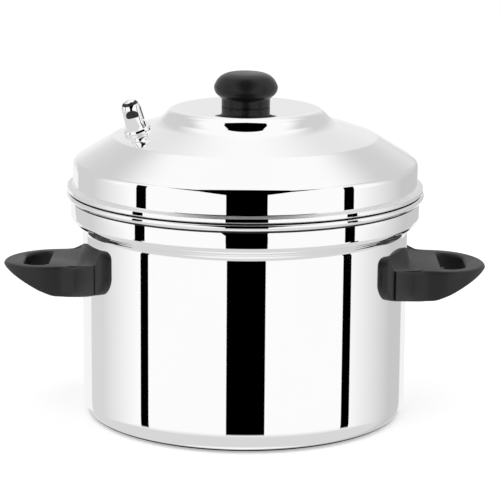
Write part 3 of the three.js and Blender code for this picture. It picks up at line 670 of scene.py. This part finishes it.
def make_vent():
    frame_matrix = vent_matrix()
    ball = smooth([(4.9, 1.2), (5.0, 1.8), (5.8, 3.5), (6.1, 5.2), (5.8, 6.8), (4.7, 8.0), (3.5, 8.5),
                   (3.2, 9.0)], 5)
    stem = [(1.4, -8), (3, -8), (3, 0.55), (4.8, 0.55), (5.0, 0.75), (5.0, 1.5)] + ball + [
        (3.2, 8.9), (3.2, 15.4), (2.9, 16.3), (2.3, 16.9), (1.5, 17), (1.4, 16.9), (1.4, -8)]
    revolved("steam_stem", stem, "lid", POLISHED, ["vent_stem"], 64, frame_matrix)
    gasket = [(3.3, 0.1), (3.8, 0.1), (3.9, 0.2), (3.9, 0.35), (3.8, 0.45), (3.3, 0.45), (3.3, 0.1)]
    revolved("steam_gasket", gasket, "lid", RUBBER, ["vent_gasket"], 48, frame_matrix)


def make_whistle():
    frame_matrix = vent_matrix()
    foot, top, outer, inner = 8.9, 34.4, 6.7, 5.6
    spring = top - outer
    sill = foot + 14.6
    dome = [(outer * math.cos(a), spring + outer * math.sin(a)) for a in np.linspace(0, math.pi / 2, 14)]
    hollow = [(inner * math.cos(a), spring + inner * math.sin(a)) for a in np.linspace(math.pi / 2, 0, 14)]
    dome[-1], hollow[0] = (0.0, top), (0.0, top - 1.1)
    outline = ([(3.5, foot), (7.1, foot), (7.4, foot + 0.15), (7.5, foot + 0.5)] + dome + hollow
               + [(6.4, foot + 1.1), (3.5, foot + 1.1), (3.5, foot)])
    points, faces = lathe(outline, 96)
    cap = mesh_from("whistle", moved(points, frame_matrix), faces)
    cap.materials.append(POLISHED)
    cap.materials.append(PAINTED_SHADE)
    to_local = frame_matrix.inverted()
    # Painted shade: the cap's inside walls are near-black, for the shade seen through its window.
    for face in cap.polygons:
        centre = to_local @ (face.center / MM)
        radius = math.hypot(centre.x, centre.y)
        within = 5.65 if centre.z > spring else 6.45
        if foot + 1 < centre.z < top - 1.05 and radius < within:
            face.material_index = 1
    arch = [(4.4 * math.cos(a), 0.9 + 4.4 * math.sin(a)) for a in np.linspace(0, math.pi, 20)]
    window = arch + [(-4.4, 0.3), (-4.0, -0.4), (-3.2, -0.7), (-1.2, -0.5), (1.2, -0.5), (3.2, -0.7),
                     (4.0, -0.4), (4.4, 0.3)]
    n = len(window)
    turn = frame_matrix @ Matrix.Rotation(-VENT_AZIMUTH, 4, "Z")  # the window faces the front
    near = moved([(x, -2.0, sill + z) for x, z in window], turn)
    far = moved([(x, -12.0, sill + z) for x, z in window], turn)
    sides = [(k, n + k, n + (k + 1) % n, (k + 1) % n) for k in range(n)]
    ends = [tuple(range(n)), tuple(range(2 * n - 1, n - 1, -1))]
    cutter = mesh_from("whistle_window", near + far, ends + sides)
    tidy_normals(cutter)
    cap = cut(cap, cutter, "whistle")
    add_piece("whistle", cap, "whistle", POLISHED, ["whistle_cap"])
    ring = rounded([(7.8, foot, 0), (8.9, foot, 0.3), (9.5, foot + 0.7, 0.3), (9.5, foot + 1.7, 0.3),
                    (8.6, foot + 2.15, 0.2), (9.5, foot + 2.6, 0.3), (9.5, foot + 3.9, 0.4),
                    (8.5, foot + 5.2, 0.4), (7.8, foot + 5.4, 0)], 20.0, 0.04)
    revolved("whistle_ring", ring + [ring[0]], "whistle", POLISHED, ["whistle_collar"], 96,
             frame_matrix)
    # The photograph shows no reflection of the whistle on the lid.
    for name in ("steam_stem", "steam_gasket", "whistle", "whistle_ring"):
        bpy.data.objects[name].visible_glossy = False


# Stand
BASE_TOP = 21.3
PLATE_TOPS = [46 + 25.5 * k for k in range(6)]
SHEET_THICKNESS, GAP = 0.9, 0.3
RING_HEIGHT = 183.65


def make_stand():
    skin = rounded([(70, 1.3, 0), (70, BASE_TOP, 4), (0, BASE_TOP, 0)], 10.0, 0.3)
    lining = inset(skin, 1.0)
    lining[0] = (69.0, 1.3)
    lining[-1] = (0.0, 20.3)
    points, faces = lathe(lining[::-1] + skin, 128)
    base = mesh_from("base", points, faces)
    cut_points, cut_faces = [], []

    def add_cut(points_in, faces_in):
        start = len(cut_points)
        cut_points.extend(points_in)
        cut_faces.extend([tuple(start + i for i in f) for f in faces_in])

    def disc(radius):
        return lathe([(0, 18), (radius, 18), (radius, 24), (0, 24)], 28)

    for k in range(8):
        p, f = disc(7)
        add_cut(moved(p, Matrix.Rotation(TURN * k / 8, 4, "Z") @ Matrix.Translation((42, 0, 0))), f)
    for k in range(16):
        p, f = disc(2.2)
        add_cut(moved(p, Matrix.Rotation(TURN * (k + 0.5) / 16, 4, "Z") @ Matrix.Translation((58, 0, 0))), f)
    p, f = disc(4.4)
    add_cut(p, f)
    arch = [(-13, -4), (-13, 5)] + [(-9 + 4 * math.cos(a), 5 + 4 * math.sin(a) + 1.3) for a in
                                    np.linspace(math.pi, math.pi / 2, 6)]
    arch += [(-x, z) for x, z in arch[::-1]]
    n = len(arch)
    for k in range(4):
        spin = Matrix.Rotation(TURN * (k + 0.5) / 4, 4, "Z")
        near = moved([(64, y, z) for y, z in arch], spin)
        far = moved([(76, y, z) for y, z in arch], spin)
        walls = [(i, (i + 1) % n, n + (i + 1) % n, n + i) for i in range(n)]
        add_cut(near + far, [tuple(range(n - 1, -1, -1)), tuple(range(n, 2 * n))] + walls)
    cutter = mesh_from("base_cutter", cut_points, cut_faces)
    tidy_normals(cutter)
    add_piece("base", cut(base, cutter, "base"), "stand", SATIN, ["stand_base"])

    for k, top in enumerate(PLATE_TOPS, 1):
        foot = (BASE_TOP if k == 1 else PLATE_TOPS[k - 2]) + GAP
        head = top - SHEET_THICKNESS - GAP
        tube = rounded([(4.4, foot, 0), (6.5, foot, 0.5), (6.5, head, 0.5), (4.4, head, 0)], 30.0, 0.1)
        revolved(f"tube_{k}", tube + [tube[0]], "stand", SATIN, [f"spacer_{k}"], 48)
    washer = rounded([(4.4, 173.8, 0), (8.5, 173.8, 0.3), (8.5, 174.8, 0.3), (4.4, 174.8, 0)], 30.0, 0.05)
    revolved("washer", washer + [washer[0]], "stand", SATIN, ["top_washer"], 48)
    make_rod()


def make_rod():
    """The rod, with its thread cut where the nuts run and plain between them."""
    sides, pitch, depth = 32, 1.25, 0.55
    low_end, high_end = 11.0, 188.65
    low_thread, high_thread = np.arange(low_end, 23.0, pitch / 6), np.arange(170.2, high_end, pitch / 6)
    heights = [*low_thread, 23.0, 170.0, *high_thread]
    points, faces = [], []
    for z in heights:
        taper = min(z - low_end, high_end - z, 1.0)
        plain = 22.5 < z < 170.1
        for k in range(sides):
            phase = (z / pitch - k / sides) % 1.0
            groove = 0.0 if plain else depth * (1 - abs(2 * phase - 1))
            r = 4.0 - groove - (1 - taper) * 0.8
            a = TURN * k / sides
            points.append((r * math.cos(a), r * math.sin(a), z))
    for i in range(len(heights) - 1):
        for k in range(sides):
            n = (k + 1) % sides
            faces.append((i * sides + k, i * sides + n, (i + 1) * sides + n, (i + 1) * sides + k))
    faces.append(tuple(range(sides - 1, -1, -1)))
    last = (len(heights) - 1) * sides
    faces.append(tuple(range(last, last + sides)))
    rod = mesh_from("rod", points, faces)
    hole_points, hole_faces = lathe([(0, -9), (2.25, -9), (2.25, 9), (0, 9)], 24)
    turn = Matrix.Translation((0, 0, RING_HEIGHT)) @ Matrix.Rotation(math.pi / 2, 4, "Y")
    cutter = mesh_from("rod_cutter", moved(hole_points, turn), hole_faces)
    add_piece("rod", cut(rod, cutter, "rod"), "stand", SATIN, ["centre_rod"], 30.0)


def make_thumb_nut():
    foot, head = 175.1, 182.1

    def knurl(radius, angle):
        if radius < 10.6:
            return radius
        return radius - 0.75 * (0.5 + 0.5 * math.cos(12 * angle)) ** 3

    outline = rounded([(4.4, foot, 0), (11.9, foot, 0.9), (11.9, head, 0.9), (7.5, head, 0.4),
                       (7.0, head - 0.8, 0.4), (4.4, head - 0.8, 0)], 15.0, 0.1)
    points, faces = lathe(outline + [outline[0]], 192, knurl)
    nut = mesh_from("nut", points, faces)
    add_piece("nut", nut, "thumb_nut", SATIN, ["thumb_nut"], 40.0)


def make_ring():
    around, section, radius, wire = 96, 20, 13.0, 1.25
    points, faces = [], []
    for i in range(around):
        a = TURN * i / around
        for j in range(section):
            b = TURN * j / section
            r = radius + wire * math.cos(b)
            points.append((r * math.cos(a), r * math.sin(a) - radius, RING_HEIGHT + wire * math.sin(b)))
    for i in range(around):
        for j in range(section):
            a, b = i * section, ((i + 1) % around) * section
            k = (j + 1) % section
            faces.append((a + j, b + j, b + k, a + k))
    add_piece("loop", mesh_from("loop", points, faces), "lift_ring", SATIN, ["lift_ring"])


def circle(x, y, radius, count):
    angles = [TURN * k / count for k in range(count)]
    return [(x + radius * math.cos(a), y + radius * math.sin(a)) for a in angles]


def plate_sheet():
    """A pressed plate in its own frame: four cups with steam holes, four gaps and a turned-down rim."""
    points, edges, holes = [], [], []

    def add_loop(loop, is_hole=False):
        start = len(points)
        points.extend(loop)
        edges.extend([(start + k, start + (k + 1) % len(loop)) for k in range(len(loop))])
        if is_hole:
            centre = np.mean(loop, axis=0)
            holes.append((centre[0], centre[1], math.hypot(*(np.array(loop[0]) - centre))))

    cups = [(55.5 * math.cos(TURN * k / 4), 55.5 * math.sin(TURN * k / 4)) for k in range(4)]
    add_loop(circle(0, 0, 4.4, 24), True)
    add_loop(circle(0, 0, 7.5, 24))
    for radius in (98.0, 97.6, 96.8, 96.0, 94.6):
        add_loop(circle(0, 0, radius, 144))
    for k in range(4):
        a = TURN * (k + 0.5) / 4
        add_loop(circle(81 * math.cos(a), 81 * math.sin(a), 10, 36), True)
        add_loop(circle(81 * math.cos(a), 81 * math.sin(a), 10.6, 36))
    for x, y in cups:
        drilled = [(0.0, 0.0)] + circle(0.0, 0.0, 13, 6)
        drilled += [(24.5 * math.cos(TURN * (k + 0.5) / 10), 24.5 * math.sin(TURN * (k + 0.5) / 10))
                    for k in range(10)]
        for dx, dy in drilled:
            add_loop(circle(x + dx, y + dy, 1.5, 10), True)
        for radius in (5, 9, 17.5, 20.5, 28.5, 31, 33, 34.5, 35.5, 36.2, 36.9, 37.6):
            add_loop(circle(x, y, radius, 72 if radius > 20 else 48))
    flat, _, triangles, *_ = delaunay_2d_cdt([Vector(p) for p in points], edges, [], 0, 1e-5)
    verts = [(v.x, v.y, press(v.x, v.y, cups)) for v in flat]
    kept = []
    for t in triangles:
        cx, cy = (sum(verts[i][j] for i in t) / 3 for j in (0, 1))
        if math.hypot(cx, cy) > 97.95 or any(math.hypot(cx - hx, cy - hy) < r * 0.97 for hx, hy, r in holes):
            continue
        kept.append(tuple(t))
    sheet = bare_object("sheet", mesh_from("sheet", verts, kept))
    tidy_normals(sheet.data)
    if sum(face.normal.z for face in sheet.data.polygons) < 0:
        sheet.data.flip_normals()
    thick = sheet.modifiers.new("thick", "SOLIDIFY")
    thick.thickness = SHEET_THICKNESS * MM
    thick.offset = -1.0
    return applied(sheet, "sheet")


def press(x, y, cups):
    """The height of the pressed sheet: cups 13 mm deep with a soft edge, and a rim that turns down."""
    near = min(math.hypot(x - cx, y - cy) for cx, cy in cups)
    bowl = -13.0 * (1 - (near / 36.0) ** 2.3)
    soft = 0.3
    height = -soft * math.log1p(math.exp(-bowl / soft))
    radius = math.hypot(x, y)
    return height - (1.7 * min((radius - 96.0) / 2.0, 1.0) ** 1.5 if radius > 96.0 else 0.0)


def make_plates():
    sheet = plate_sheet()
    for k, top in enumerate(PLATE_TOPS, 1):
        mesh = sheet.copy()
        mesh.name = f"plate_{k}"
        turn = math.pi / 4 if k % 2 else 0.0
        mesh.transform(Matrix.Translation((0, 0, top * MM)) @ Matrix.Rotation(turn, 4, "Z"))
        add_piece(f"plate_{k}", mesh, f"plate_{k}", SATIN, [f"idli_plate_{k}"], 50.0)
    bpy.data.meshes.remove(sheet)


def dress_kept_nodes():
    """CAD nodes whose shape is right keep it, and get a finish."""
    finishes = {"polished_steel": POLISHED, "brushed_steel": SATIN, "black_phenolic": BLACK,
                "red_rubber": RUBBER}
    slots = {s["node"]: s["material_slot"] for s in frame["record"]["subparts"]}
    for name, node in frame["nodes"].items():
        if node.hide_render:
            continue
        node.data.materials.clear()
        node.data.materials.append(finishes[slots[name]])
        # Like the whistle and its nozzle, these aren't seen in reflections.
        if name in ("whistle_disc", "vent_nut"):
            node.visible_glossy = False


# Surroundings
def make_floor():
    material = bpy.data.materials.new("floor")
    material.use_nodes = True
    nodes = Nodes(material.node_tree)
    tree = material.node_tree
    tree.nodes.remove(tree.nodes["Principled BSDF"])
    output = tree.nodes["Material Output"]
    paint = nodes.add("ShaderNodeBsdfDiffuse")
    paint.inputs["Color"].default_value = (0.9, 0.9, 0.9, 1.0)
    lift = nodes.add("ShaderNodeEmission")
    path = nodes.add("ShaderNodeLightPath")
    nodes.link(nodes.math("MULTIPLY", path.outputs["Is Camera Ray"], 0.42), lift.inputs["Strength"])
    total = nodes.add("ShaderNodeAddShader")
    nodes.link(paint.outputs[0], total.inputs[0])
    nodes.link(lift.outputs[0], total.inputs[1])
    # Polished metal sees the studio below the horizon, and the floor only as a painted contact shadow: a
    # near-black disc under the pot's edge.
    painted_contact_shadow = nodes.add("ShaderNodeBsdfDiffuse")
    painted_contact_shadow.inputs["Color"].default_value = (0.01, 0.01, 0.01, 1.0)
    clear = nodes.add("ShaderNodeBsdfTransparent")
    radius, _ = axis_distance(nodes, nodes.add("ShaderNodeTexCoord").outputs["Object"])
    contact_edge, contact_end = 111.0 * MM, 112.5 * MM
    mirrored = nodes.add("ShaderNodeMixShader")
    nodes.link(nodes.ramp(radius, contact_edge, contact_end), mirrored.inputs[0])
    nodes.link(painted_contact_shadow.outputs[0], mirrored.inputs[1])
    nodes.link(clear.outputs[0], mirrored.inputs[2])
    seen = nodes.add("ShaderNodeMixShader")
    nodes.link(path.outputs["Is Glossy Ray"], seen.inputs[0])
    nodes.link(total.outputs[0], seen.inputs[1])
    nodes.link(mirrored.outputs[0], seen.inputs[2])
    nodes.link(seen.outputs[0], output.inputs["Surface"])
    far, drop = 9000, 0.1
    corners = [(-far, -far, -drop), (far, -far, -drop), (far, far, -drop), (-far, far, -drop)]
    mesh = mesh_from("floor", corners, [(0, 1, 2, 3)])
    mesh.materials.append(material)
    bare_object("floor", mesh)


def make_world():
    """White to the camera. To polished metal it is a pale studio, greyer at the back, with black cards: a
    broad one behind the camera, a narrow one at each side and one overhead. Angles are in degrees, around
    from the front and up from the horizon. The soft edge of a band is given by half its width."""
    world = bpy.data.worlds.new("studio")
    bpy.context.scene.world = world
    world.use_nodes = True
    tree = world.node_tree
    tree.nodes.clear()
    nodes = Nodes(tree)
    direction = nodes.add("ShaderNodeTexCoord").outputs["Generated"]
    split = nodes.add("ShaderNodeSeparateXYZ")
    nodes.link(direction, split.inputs[0])
    x, y, z = split.outputs
    degrees = 180 / math.pi
    front = nodes.math("MULTIPLY", y, -1.0)
    around = nodes.math("MULTIPLY", nodes.math("ARCTAN2", x, front), degrees)
    off = nodes.math("ABSOLUTE", around)
    up = nodes.math("MULTIPLY", nodes.math("ARCSINE", z), degrees)
    right = nodes.math("GREATER_THAN", x, 0.0)

    def band(value, low, high, soft):
        rise = nodes.ramp(value, nodes.math("SUBTRACT", low, soft), nodes.math("ADD", low, soft))
        fall = nodes.ramp(value, nodes.math("SUBTRACT", high, soft), nodes.math("ADD", high, soft), 1.0, 0.0)
        return nodes.math("MULTIPLY", rise, fall)

    def either(choice, when_not, when_so):
        change = nodes.math("SUBTRACT", when_so, when_not)
        return nodes.math("ADD", when_not, nodes.math("MULTIPLY", choice, change))

    centre = nodes.math("MULTIPLY", band(around, -12.2, 14.6, 0.15), band(up, -19.0, 60.0, 0.5))
    # 0 for what the pot's body shows, 1 for its collar and the lid, which the camera sees less steeply. That
    # holds at the side stripes. Towards the pot's outline the change lies lower, down to a height of 117 mm.
    high = nodes.ramp(up, -12.50, -12.40)

    # The card overhead and the high part of the side cards are drawn by the slope that shows them: turn and
    # rise of a surface that the camera sees along the direction (0, sight_ahead, -sight_down).
    sight_ahead, sight_down = 0.98, 0.199
    lean = nodes.math("SUBTRACT", sight_ahead, y)
    turn = nodes.math("ABSOLUTE", nodes.math("MULTIPLY", nodes.math("ARCTAN2", x, lean), degrees))
    squares = nodes.math("ADD", nodes.math("MULTIPLY", x, x), nodes.math("MULTIPLY", lean, lean))
    flat = nodes.math("SQRT", squares)
    rise = nodes.math("MULTIPLY", nodes.math("ARCTAN2", nodes.math("ADD", z, sight_down), flat), degrees)
    floor_line = nodes.math("ADD", nodes.ramp(turn, 6.3, 15.4, 10.0, 30.0, False),
                            nodes.ramp(turn, 15.4, 28.5, 0.0, 12.5, False))
    inner = nodes.math("MINIMUM", turn, 15.0)
    bowl = nodes.math("MULTIPLY", nodes.math("MULTIPLY", inner, inner), 10.0 / 225.0)
    top_line = nodes.math("SUBTRACT", nodes.math("SUBTRACT", 54.0, bowl),
                          nodes.ramp(turn, 14.5, 16.5, 0.0, 2.6))
    overhead = nodes.math("MULTIPLY", band(rise, floor_line, top_line, 0.5),
                          nodes.math("LESS_THAN", turn, 29.0))
    low_sides = nodes.math("MULTIPLY", band(off, either(right, 70.8, 72.8), either(right, 77.6, 80.0), 0.15),
                           band(up, -19.0, 3.0, 0.5))
    high_sides = nodes.math("MULTIPLY", band(turn, 34.0, 38.0, 0.08), band(rise, -3.5, 33.0, 0.5))
    sides = either(high, low_sides, high_sides)
    cards = nodes.math("MAXIMUM", nodes.math("MAXIMUM", centre, sides), overhead)

    # The greys at the back: wall for upright surfaces, slope for the lid's slopes, far for straight behind.
    depth = either(right, either(high, 0.31, 0.36), 0.42)
    outer = either(right, either(high, 138.0, 146.0), either(high, 147.0, 168.0))
    grey = nodes.ramp(off, either(right, 80.0, 76.0), either(right, 119.0, 126.0), 0.0, 1.0, False)
    wall = nodes.math("MULTIPLY", grey, nodes.ramp(off, outer, nodes.math("ADD", outer, 2.5), 1.0, 0.22))
    slope = nodes.math("MULTIPLY", nodes.ramp(off, 92.0, 118.0), nodes.ramp(off, 150.0, 182.0, 1.0, 0.0))
    fade = nodes.ramp(off, 118.0, 134.0, 10.0, 0.0)
    fall = nodes.ramp(up, nodes.math("ADD", 36.0, fade), nodes.math("ADD", 58.0, fade),
                      either(right, 1.0, 0.85), 0.0)
    slope = nodes.math("MULTIPLY", slope, fall)
    back = nodes.math("MULTIPLY", depth, either(nodes.ramp(up, -6.0, 14.0), wall, slope))
    far = nodes.math("MULTIPLY", nodes.ramp(off, 160.0, 175.0, 0.0, 0.17),
                     nodes.math("MULTIPLY", nodes.ramp(up, -4.0, 6.0), nodes.ramp(up, 22.0, 40.0, 1.0, 0.0)))
    back = nodes.math("MAXIMUM", back, far)
    # The ground is grey between a pale strip under the horizon and what is almost straight below.
    ground = nodes.math("MULTIPLY", nodes.ramp(up, -21.0, -18.0, 0.30, 0.0),
                        nodes.ramp(up, -72.0, -64.0, 0.1, 1.0))
    shade = nodes.math("MAXIMUM", back, ground)
    pale = nodes.math("SUBTRACT", 1.0, shade)
    level = nodes.math("MULTIPLY", pale, nodes.math("SUBTRACT", 1.0, cards))

    path = nodes.add("ShaderNodeLightPath")
    studio = nodes.add("ShaderNodeBackground")
    nodes.link(level, studio.inputs["Strength"])
    plain = nodes.add("ShaderNodeBackground")
    plain.inputs["Strength"].default_value = 0.62
    white = nodes.add("ShaderNodeBackground")
    white.inputs["Strength"].default_value = 1.0
    for background in (studio, plain, white):
        background.inputs["Color"].default_value = (1.0, 1.0, 1.0, 1.0)
    first = nodes.add("ShaderNodeMixShader")
    nodes.link(path.outputs["Is Glossy Ray"], first.inputs[0])
    nodes.link(plain.outputs[0], first.inputs[1])
    nodes.link(studio.outputs[0], first.inputs[2])
    shown = nodes.math("MAXIMUM", path.outputs["Is Camera Ray"], path.outputs["Is Transmission Ray"])
    last = nodes.add("ShaderNodeMixShader")
    nodes.link(shown, last.inputs[0])
    nodes.link(first.outputs[0], last.inputs[1])
    nodes.link(white.outputs[0], last.inputs[2])
    output = nodes.add("ShaderNodeOutputWorld")
    nodes.link(last.outputs[0], output.inputs["Surface"])


def make_lamps():
    for name, place, power in (("key", (-0.5, -0.9, 1.9), 7.0), ("fill", (0.9, 0.3, 1.7), 3.5)):
        data = bpy.data.lights.new(name, "AREA")
        data.size = 1.3
        data.energy = power
        lamp = bpy.data.objects.new(name, data)
        bpy.context.scene.collection.objects.link(lamp)
        aim = Vector((0.0, 0.0, 0.1)) - Vector(place)
        lamp.matrix_world = Matrix.Translation(place) @ aim.to_track_quat("-Z", "Y").to_matrix().to_4x4()
        lamp.visible_glossy = False
        lamp.visible_camera = False


make_camera()
make_pot()
make_lid()
make_knob()
make_handles()
make_vent()
make_whistle()
make_stand()
make_thumb_nut()
make_ring()
make_plates()
dress_kept_nodes()
make_floor()
make_world()
make_lamps()

bpy.context.scene.view_settings.view_transform = "Standard"
